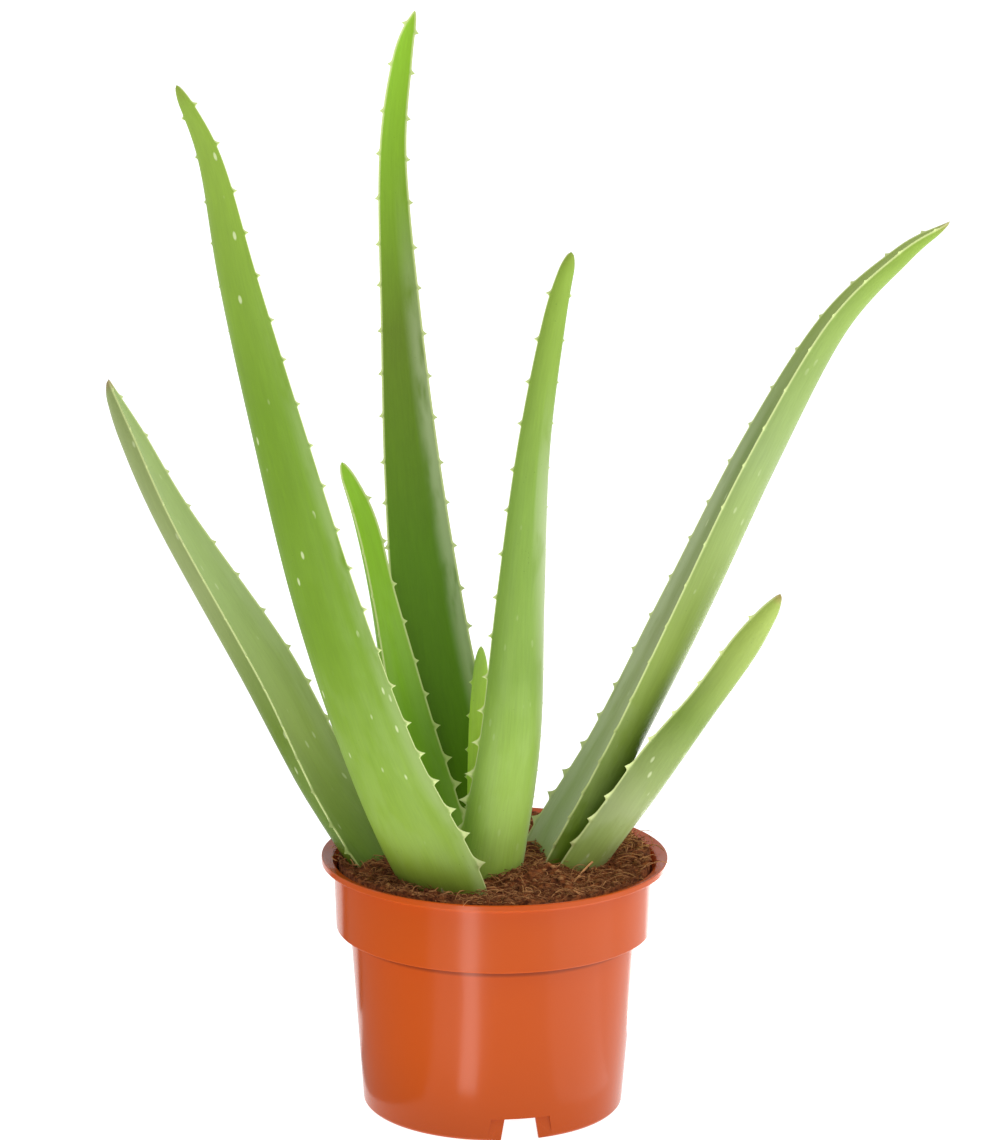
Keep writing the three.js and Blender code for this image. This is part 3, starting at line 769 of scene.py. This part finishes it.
LEAVES = {
    "leaf_centre_small": {
        "path": [(-5, 2, 74), (-5.4, 5, 100), (-5.1, 7, 128), (-5.3, 8, 145), (-5.3, 9, 161)],
        "half_widths": [3, 4.2, 4.4, 3.3, 1.6],
        "bearing": (260, 260),
        "back": 0.7,
        "first_tooth": (32, 30),
        "back_tones": ("neon", "neon", "neon", "glow"),
        "face_tones": ("neon", "neon", "neon", "glow"),
    },
    "leaf_inner_left": {
        "path": [
            (-8, 3, 68), (-17.8, 6, 96), (-28.5, 12, 133),
            (-38.6, 18, 175), (-45.4, 22, 202), (-54, 25, 222),
        ],
        "half_widths": [6, 11.9, 9.4, 5.5, 4.5, 2],
        "bearing": (148, 128),
        "back": 0.88,
        "first_tooth": (30, 32),
        "back_tones": ("sage", "leaf", "spring", "bright"),
        "face_tones": ("bright", "spring", "bright", "bright"),
        "bloom": (0.1, 0.1),
    },
    "leaf_tall_back": {
        "path": [
            (-7, 8, 66), (-13, 15, 104), (-22.4, 22, 160), (-29.2, 28, 215),
            (-33.8, 34, 270), (-37, 39, 325), (-34, 42, 359), (-29.7, 44, 376),
        ],
        "half_widths": [10, 15.6, 13.1, 10.1, 7.1, 4.8, 3.5, 1.2],
        "bearing": (95, 95),
        "back": 0.75,
        "first_tooth": (30, 28),
        "back_tones": ("leaf", "leaf", "leaf", "bright"),
        "face_tones": ("moss", "moss", "olive", "bright"),
        "bloom": (0, 0.5),
        "bloom_reach": 7,
    },
    "leaf_front_right": {
        "path": [
            (-1, -5, 64), (-2.6, -14, 87), (4.4, -18, 135), (7.6, -22, 185),
            (11.6, -27, 238), (18.2, -31, 283), (23.6, -33, 306),
        ],
        "half_widths": [9, 13, 11.6, 9, 6, 4.1, 2.2],
        "bearing": (306, 290),
        "back": 0.78,
        "first_tooth": (41, 41),
        "back_tones": ("glow", "fresh", "fresh", "apple"),
        "face_tones": ("moss", "leaf", "fresh", "fresh"),
        "bloom": (0.75, 0),
        "bloom_reach": 14,
        "dapple": 0.05,
        "flecks": 0.2,
    },
    "leaf_long_right": {
        "path": [
            (3, 3, 59), (12.4, 3, 86), (35.8, 4, 129.5), (59, 5, 179),
            (83.8, 8, 231), (110.2, 10, 276), (134.8, 11.5, 300), (152.3, 12, 310),
        ],
        "half_widths": [10, 17.4, 14.1, 14.1, 12.5, 8.7, 5.6, 1.4],
        "bearing": (9, 0),
        "back": 1.0,
        "first_tooth": (38, 42),
        "back_tones": ("olive", "hay", "mist", "apple"),
        "face_tones": ("silver", "ash", "sage", "lime"),
        "bloom": (0.5, 0),
        "dapple": 0.1,
        "flecks": 0.5,
        "brown_tip": 0.4,
    },
    "leaf_front_left": {
        "path": [
            (-5, -8, 60), (-15, -24, 85), (-36.8, -31, 131), (-56.4, -40, 189),
            (-73.1, -49, 252), (-84.9, -56, 300), (-93.5, -62, 340), (-103.9, -66, 364.5),
        ],
        "half_widths": [14, 19.5, 16.3, 13.5, 9.9, 7, 4.1, 1.6],
        "bearing": (216, 258),
        "back": 0.65,
        "first_tooth": (41, 38),
        "back_tones": ("apple", "grass", "grass", "apple"),
        "face_tones": ("moss", "leaf", "grass", "fresh"),
        "bloom": (0.2, 0.25),
        "dapple": 0.05,
        "flecks": 1,
    },
    "leaf_low_left": {
        "path": [
            (-13, -3, 58), (-26.3, -6, 84), (-54.6, 5, 113.5), (-77.7, 21, 152),
            (-109.4, 39, 198), (-126.4, 51, 227), (-136.9, 58, 244),
        ],
        "half_widths": [9, 18, 12.8, 12.7, 9.5, 7.2, 2.7],
        "bearing": (128, 173),
        "back": 1.0,
        "first_tooth": (40, 38),
        "back_tones": ("dusk", "olive", "ash", "ash"),
        "face_tones": ("dusk", "hay", "silver", "silver"),
        "bloom": (0, 0.2),
        "dapple": 0.05,
        "flecks": 0.6,
        "brown_tip": 0.6,
    },
    "leaf_low_right": {
        "path": [
            (15, -2, 59), (22.8, -1, 87.7), (46.5, -6, 121.2),
            (67.3, -9, 147), (83.3, -14, 170), (96, -18, 187),
        ],
        "half_widths": [9, 14.2, 12.6, 8.8, 7.2, 2.4],
        "bearing": (2, -41),
        "back": 1.0,
        "first_tooth": (40, 43),
        "back_tones": ("glow", "ash", "sage", "lime"),
        "face_tones": ("silver", "ash", "sage", "lime"),
        "bloom": (0.2, 0),
        "dapple": 0.25,
        "flecks": 0.8,
        "brown_tip": 0.6,
    },
}
print("leaves:", ", ".join(LEAVES))

# %% [markdown]
# ### A leaf's curve
# A leaf bends smoothly, but its path is a short list of points. A Bezier curve would need handles beside
# each of them. A Catmull-Rom curve takes its slopes from the neighbours, so it passes through every point
# by itself, and the same formula gives the half width between them.

# %% Follow a leaf's curve
def curve_point(points, share):
    """A point of the smooth curve through all the points (Catmull-Rom)."""
    spans = len(points) - 1
    k = min(int(share * spans), spans - 1)
    t = share * spans - k
    here, there = points[k], points[k + 1]
    before = points[k - 1] if k else 2 * here - there
    after = points[k + 2] if k + 2 < len(points) else 2 * there - here
    slope_here = (there - before) / 2
    slope_there = (after - here) / 2
    bend = 3 * (there - here) - 2 * slope_here - slope_there
    twist = 2 * (here - there) + slope_here + slope_there
    return here + t * slope_here + t * t * bend + t**3 * twist


class Spine:
    """Where a leaf runs, which way its back looks and how wide it is, by the distance from its foot."""

    SAMPLES = 400
    NEAR = 0.0005

    def __init__(self, leaf):
        self.leaf = leaf
        self.points = [Vector(point) for point in leaf["path"]]
        places = [curve_point(self.points, k / self.SAMPLES) for k in range(self.SAMPLES + 1)]
        self.distances = [0.0]
        for here, there in zip(places, places[1:]):
            self.distances.append(self.distances[-1] + (there - here).length)
        self.length = self.distances[-1]
        self.tip = self.points[-1]

    def share_at(self, distance):
        """Which share of the path, by its points, lies at a distance from the foot."""
        k = max(1, min(self.SAMPLES, bisect.bisect(self.distances, distance)))
        near, far = self.distances[k - 1], self.distances[k]
        return (k - 1 + (distance - near) / (far - near)) / self.SAMPLES

    def frame_at(self, distance):
        """The place, the way outwards, the way across and the half width."""
        share = self.share_at(distance)
        place = curve_point(self.points, share)
        ahead = curve_point(self.points, min(1.0, share + self.NEAR))
        behind = curve_point(self.points, max(0.0, share - self.NEAR))
        along = (ahead - behind).normalized()
        first, last = self.leaf["bearing"]
        turn = math.radians(first + (last - first) * share)
        outward = Vector((math.cos(turn), math.sin(turn), 0))
        outward = (outward - along * outward.dot(along)).normalized()
        left = 1 - min(1.0, (place - self.tip).length / TIP_ROUNDING)
        half_width = curve_point(self.leaf["half_widths"], share) * math.sqrt(max(0.0, 1 - left * left))
        return place, outward, along.cross(outward), half_width


spines = {name: Spine(leaf) for name, leaf in LEAVES.items()}
print("leaf lengths in mm:", {name: round(spine.length) for name, spine in spines.items()})

# %% [markdown]
# ### Teeth
# On the tip's side a tooth's flank is long and hollow, on the foot's side short and steep. The teeth are
# drawn out of the leaf's own skin: the margin's points move outwards by the tooth's outline, and their
# neighbours follow a part of the way. The rings stand closer together wherever a tooth needs them.

# %% Draw a tooth's outline
TOOTH_STATIONS = (-2.0, -1.4, -0.8, -0.3, 0.0, 0.3, 0.8, 1.5, 2.5, 4.0)
TOOTH_HALF_THICKNESS = 0.9
LONG_FLANK_CURVE = 2.2
SHORT_FLANK_CURVE = 1.8


def teeth_along(spine, first):
    """The place and size of each tooth on one margin. They stand further apart towards the tip."""
    teeth = []
    distance = first
    while distance < spine.length - TIP_ROUNDING / 2:
        share = min(1.0, (distance - first) / TEETH_CHANGE_OVER)
        wholeness = 1 + (UPPER_TOOTH - 1) * share
        size = wholeness * min(1.0, spine.frame_at(distance)[3] / FULL_TOOTH_HALF_WIDTH)
        teeth.append((distance, max(SMALLEST_TOOTH, size)))
        # A sine makes the gaps a little uneven, as on the plant
        distance += PITCH_AT_BASE + (PITCH_AT_TIP - PITCH_AT_BASE) * share + math.sin(2.4 * len(teeth))
    return teeth


def tooth_reach(distance, teeth):
    """How far the margin stands out at a distance along the leaf."""
    reach = 0.0
    for place, size in teeth:
        offset = (distance - place) / size
        if offset >= 0:
            share, curve = 1 - offset / TOOTH_LONG_FLANK, LONG_FLANK_CURVE
        else:
            share, curve = 1 + offset / TOOTH_SHORT_FLANK, SHORT_FLANK_CURVE
        reach = max(reach, TOOTH_HEIGHT * size * max(0.0, share) ** curve)
    return reach


leaf_teeth = {
    name: [teeth_along(spine, first) for first in spine.leaf["first_tooth"]]
    for name, spine in spines.items()
}
print("teeth on each side:", {name: [len(margin) for margin in sides] for name, sides in leaf_teeth.items()})

# %% [markdown]
# ### From ring to ring
# Each ring is extruded from the last one and then moved to its place on the leaf. The corners of the circle
# become the section: its upper half the rounded back, its lower half the hollow face. The corners of the
# back crowd towards the margins, because that is where the teeth need them.

# %% Extrude a leaf
SECTION_STEPS = 56
CROWDING = 0.4
TOOTH_THINNING = 1.5
CRISP_LEAF_ABOVE_DEG = 75
RING_STEP = 2.6
CLOSEST_RINGS = 0.16
TIP_RINGS = 8


def ring_distances(spine, teeth):
    """How far from the foot each ring sits: evenly, closer at the tip, and wherever a tooth needs one."""
    even = spine.length - TIP_ROUNDING
    steps = round(even / RING_STEP)
    wanted = [even * step / steps for step in range(steps + 1)]
    wanted += [spine.length - TIP_ROUNDING * (1 - k / TIP_RINGS) ** 1.5 for k in range(1, TIP_RINGS)]
    wanted += [place + station * size for place, size in teeth for station in TOOTH_STATIONS]
    rings = []
    for distance in sorted(wanted):
        if distance < spine.length - CLOSEST_RINGS and (not rings or distance > rings[-1] + CLOSEST_RINGS):
            rings.append(distance)
    return rings


def section_corner(corner):
    """A corner of the circle, moved nearer to the margin if it is on the back, where the teeth need it."""
    angle = math.atan2(corner.y, corner.x)
    if angle > 0:
        angle -= CROWDING * math.sin(2 * angle)
    return math.cos(angle), math.sin(angle)


def skin_point(leaf, u, v, half_width, reach):
    """Where a corner lies, across the leaf and outwards, and how far it is drawn into a tooth."""
    side = 1 if u > 0 else -1
    if v > 0:
        bulge = leaf["back"] * v
        off_margin = half_width * bulge
    else:
        bulge = HOLLOW * v * v
        off_margin = half_width * (1 - abs(u))
    pull = reach[side] * max(0.0, 1 - off_margin / TOOTH_HALF_THICKNESS) ** TOOTH_THINNING
    return u * half_width + side * pull, bulge * half_width - TOOTH_TILT * pull, pull


def from_margin(u, v, half_width):
    """How far a corner lies from the nearer margin along the skin."""
    share = abs(math.asin(min(1.0, v))) if v > 0 else 1 - abs(u)
    return share * half_width


def leaf_shape(spine, teeth):
    bm = bmesh.new()
    # Kept with every point: its place on the skin and its distance from the margin in mm, and its tooth
    skin = bm.verts.layers.float_vector.new("skin")
    margin = bm.verts.layers.float.new("margin")
    tooth = bm.verts.layers.float.new("tooth")
    verts = bmesh.ops.create_circle(bm, segments=SECTION_STEPS, radius=1)["verts"]
    corners = [section_corner(vert.co) for vert in verts]
    edges = bm.edges[:]
    foot = list(edges)
    for number, distance in enumerate(ring_distances(spine, teeth[0] + teeth[1])):
        if number:
            grown = bmesh.ops.extrude_edge_only(bm, edges=edges)["geom"]
            verts = of_kind(grown, bmesh.types.BMVert)
            edges = of_kind(grown, bmesh.types.BMEdge)
        place, outward, across, half_width = spine.frame_at(distance)
        reach = {1: tooth_reach(distance, teeth[0]), -1: tooth_reach(distance, teeth[1])}
        for vert, (u, v) in zip(verts, corners):
            sideways, outwards, pull = skin_point(spine.leaf, u, v, half_width, reach)
            vert.co = (place + across * sideways + outward * outwards) * MM
            vert[skin] = (u * half_width, distance, v * half_width)
            vert[margin] = from_margin(u, v, half_width)
            vert[tooth] = pull / TOOTH_HEIGHT
    bmesh.ops.edgeloop_fill(bm, edges=foot)
    bmesh.ops.pointmerge(bm, verts=verts, merge_co=spine.tip * MM)
    bmesh.ops.recalc_face_normals(bm, faces=bm.faces[:])
    return bm


fine_leaves = {
    name: to_object(leaf_shape(spines[name], leaf_teeth[name]), name + "_fine", CRISP_LEAF_ABOVE_DEG)
    for name in LEAVES
}
print("points in all leaves:", sum(len(leaf.data.vertices) for leaf in fine_leaves.values()))

# %% [markdown]
# ### The leaves' skin
# An aloe's skin is smooth and waxy. Its green runs from dark at the foot to lime at the tip, with painted
# light and shade in it, fine streaks follow the leaf, a pale band beside the margins is partly wax bloom and
# partly a painted sheen, pale flecks sit where the wax is thin, and the margin itself is a pale line that
# widens into each tooth. Object coordinates would draw all that straight through a bent leaf. So the
# material reads the place on the skin that was kept with every point.

# %% Mix a leaf's skin
PALE_MARGIN = rgb(222, 236, 160)
# The pale of the wax bloom, and of the painted sheen beside the margins
BLOOM_AND_SHEEN = rgb(206, 220, 176)
FLECK = rgb(222, 234, 180)
SPECK = rgb(60, 84, 24)
TIP_BROWN = rgb(170, 120, 84)


def leaf_skin(name, leaf, length):
    """The finish of one leaf. Its patterns are in millimetres of skin."""
    leaf = PLAIN_SKIN | leaf
    paint = Paint(name + "_skin", IOR=1.45, Specular_IOR_Level=0.35)
    skin = paint.attribute("skin", "Vector")
    share = paint.part(skin, "Y") / length
    is_back = paint.part(skin, "Z").ramp(-0.05, 0.05)

    def tones(names):
        return paint.along(share, list(zip(TONE_PLACES, (GREENS[tone] for tone in names))))

    # The tones hold painted light and shade: brighter at feet deep in the rosette, darker where other leaves
    # shade a face
    colour = paint.blend(is_back, tones(leaf["face_tones"]), tones(leaf["back_tones"]))
    streaks = paint.clouds(paint.stretched(skin, 1.4, 0.05, 1.4), 1.0, detail=4.0, roughness=0.6)
    patches = paint.clouds(paint.stretched(skin, 0.1, 0.04, 0.1), 1.0)
    lightness = 0.78 + 0.26 * streaks + 0.18 * patches
    colour = paint.node("ShaderNodeHueSaturation", inputs={"Color": colour, "Value": lightness})

    margin = paint.attribute("margin")
    one_side = paint.part(skin, "X").ramp(-0.5, 0.5)
    first, second = leaf["bloom"]
    bloom = second + (first - second) * one_side
    reach = leaf["bloom_reach"]
    # The bloom and sheen lies beside the margins: partly wax bloom, partly a painted sheen. It is patchy and
    # fades out towards the tip
    bloom = bloom * margin.ramp(reach, 0.3 * reach) * patches.ramp(0.25, 0.5) * share.ramp(0.85, 0.55)
    colour = paint.blend(bloom, colour, BLOOM_AND_SHEEN)
    dapple = patches.ramp(0.46, 0.62) * share.ramp(0.6, 0.2)
    colour = paint.blend(leaf["dapple"] * dapple, colour, BLOOM_AND_SHEEN)

    fleck_place = paint.stretched(skin, 1.0, 0.4, 1.0)
    fleck = paint.dots(fleck_place, 0.22).ramp(0.16, 0.09) * patches.ramp(0.45, 0.55)
    colour = paint.blend(0.7 * leaf["flecks"] * fleck, colour, FLECK)
    speck = paint.dots(skin, 0.5).ramp(0.1, 0.05) * paint.clouds(skin, 0.07).ramp(0.55, 0.65)
    colour = paint.blend(0.5 * speck, colour, SPECK)

    # The margin's pale line widens into each tooth
    pale = margin.ramp(0.9, 0.3).or_more(paint.attribute("tooth").ramp(0.1, 0.3))
    colour = paint.blend(0.85 * pale, colour, PALE_MARGIN)
    colour = paint.blend(leaf["brown_tip"] * share.ramp(0.975, 1.0), colour, TIP_BROWN)

    roughness = 0.38 + 0.12 * streaks + 0.08 * patches
    height = 0.00006 * streaks + 0.0004 * patches
    return paint.finish(colour, roughness, height)


SLOTS = {sub["node"]: sub["material_slot"] for sub in frame["record"]["subparts"]}
for name, leaf in LEAVES.items():
    dress(fine_leaves[name], leaf_skin(name, leaf, spines[name].length), SLOTS[name], name)

# %% [markdown]
# ## Stem and roots
# The short stem with its roots is hidden in the mix. It could be modelled finely, but nobody would see it,
# so the fixed model's own piece stays. It still gets a real finish: dry, flaky bark in straw and brown.

# %% Give the stem its bark
def bark():
    """Flakes that are stretched along the stem."""
    paint = Paint("stem_bark", Roughness=0.85)
    place = paint.place()
    flakes = paint.clouds(paint.stretched(place, 1, 1, 0.3), 600, detail=5.0, roughness=0.7)
    colour = paint.blend(flakes.ramp(0.35, 0.65), rgb(104, 72, 40), rgb(196, 166, 118))
    return paint.finish(colour, None, 0.0006 * flakes)


stem = frame["nodes"]["stem_and_roots"]
stem.data.materials.clear()
stem.data.materials.append(bark())
print("stem carried over:", stem.name)

# %% [markdown]
# ## Studio
# The plant stands on a glowing white table in a white room that is darker behind the camera, which puts
# the pale rim along every edge of a waxy leaf. A large soft lamp on the right models the leaves, and two low
# ones give the light that a white table throws back. The pot's wall slopes, so it mirrors the table round
# it: its upright highlights come from glowing sheets that lie there. Each one widens with its distance, or
# its reflection would flare at the pot's foot. Dim sheets on the left keep the colour there deep.

# %% Build the studio
TABLE_GLOW = 1.0
TABLE_GREY = (0.4, 0.4, 0.4, 1)
TABLE_HALF_WIDTH = 60
BELOW_POT = 0.05 * MM
ABOVE_TABLE = 0.002
LAMP_ABOVE_TABLE = 0.001
WHITE = (1, 1, 1, 1)
SHEET_BLACK = (0.02, 0.02, 0.02, 1)
# From one direction's Y to another's, the room's strength changes from the third number to the fourth
ROOM_PASSAGE = (-0.9, -0.1, 0.3, 0.76)


def table():
    """A table so large that its edge isn't in view. It lies a hair below the pot's underside."""
    bm = bmesh.new()
    place = Matrix.Translation((0, 0, -BELOW_POT))
    bmesh.ops.create_grid(bm, x_segments=1, y_segments=1, size=TABLE_HALF_WIDTH, matrix=place)
    return to_object(bm, "table")


white = Paint(
    "studio_white", Roughness=1.0, Specular_IOR_Level=0.0, Base_Color=TABLE_GREY,
    Emission_Color=WHITE, Emission_Strength=TABLE_GLOW,
).material
ground = table()
ground.data.materials.append(white)


def room():
    """A world that is bright behind the plant and at its sides, and darker behind the camera."""
    world = bpy.data.worlds.new("white_room")
    world.use_nodes = True
    nodes, links = world.node_tree.nodes, world.node_tree.links
    direction = nodes.new("ShaderNodeSeparateXYZ")
    links.new(nodes.new("ShaderNodeTexCoord").outputs["Generated"], direction.inputs[0])
    passage = nodes.new("ShaderNodeMapRange")
    for socket, value in zip(("From Min", "From Max", "To Min", "To Max"), ROOM_PASSAGE):
        passage.inputs[socket].default_value = value
    links.new(direction.outputs["Y"], passage.inputs[0])
    links.new(passage.outputs[0], nodes["Background"].inputs["Strength"])
    nodes["Background"].inputs["Color"].default_value = WHITE
    return world


bpy.context.scene.world = room()
bpy.context.scene.view_settings.view_transform = "Standard"


def lamp(name, place, target, width, tall, watts, mirrored=True):
    """A soft box at a place in metres that looks at a target. Only its reflections may be seen."""
    data = bpy.data.lights.new(name, "AREA")
    data.shape = "RECTANGLE"
    data.size = width
    data.size_y = tall
    data.energy = watts
    thing = bpy.data.objects.new(name, data)
    thing.rotation_euler = (Vector(target) - Vector(place)).to_track_quat("-Z", "Y").to_euler()
    thing.location = place
    thing.visible_camera = False
    thing.visible_glossy = mirrored
    bpy.context.scene.collection.objects.link(thing)


def table_sheet(name, bearing, spread, nearest, farthest, glow):
    """A sheet on the table that only shows in reflections, dark if it has no glow. Its middle lies at a
    bearing, from the front to the right, and it widens with its distance, as a slice of a pie does."""
    bm = bmesh.new()
    widening = 2 * math.tan(math.radians(spread / 2))
    for vert in bmesh.ops.create_grid(bm, x_segments=1, y_segments=1, size=0.5)["verts"]:
        distance = farthest if vert.co.x > 0 else nearest
        vert.co = Vector((distance, vert.co.y * widening * distance, ABOVE_TABLE))
    turn = Matrix.Rotation(math.radians(bearing - 90), 3, "Z")
    bmesh.ops.rotate(bm, verts=bm.verts[:], cent=(0, 0, 0), matrix=turn)
    sheet = to_object(bm, name)
    paint = Paint(
        name, Roughness=1.0, Base_Color=SHEET_BLACK, Emission_Color=WHITE, Emission_Strength=glow,
    )
    sheet.data.materials.append(paint.material)
    sheet.visible_camera = False
    sheet.visible_diffuse = False
    sheet.visible_shadow = False


def low_lamp(name, x, y, width, tall, watts):
    """A lamp on the table that shines up and isn't mirrored."""
    lamp(name, (x, y, LAMP_ABOVE_TABLE), (x, y, 1), width, tall, watts, mirrored=False)


# Sizes and places in metres
lamp("key", place=(1.3, -0.7, 1.6), target=(0, 0, 0.2), width=1.2, tall=1.2, watts=10.5)
low_lamp("front_fill", x=-0.06, y=-0.23, width=0.1, tall=0.3, watts=0.18)
low_lamp("right_fill", x=0.25, y=-0.13, width=0.3, tall=0.3, watts=0.36)
table_sheet("highlight", bearing=-15.5, spread=11, nearest=0.075, farthest=0.45, glow=6)
table_sheet("soft_highlight", bearing=62, spread=46, nearest=0.06, farthest=0.5, glow=1.9)
table_sheet("edge_highlight", bearing=156, spread=44, nearest=0.08, farthest=0.5, glow=4)
table_sheet("dim_left", bearing=-82, spread=80, nearest=0.05, farthest=0.6, glow=0.35)
table_sheet("dark_stripe", bearing=-126, spread=10, nearest=0.11, farthest=0.6, glow=0)
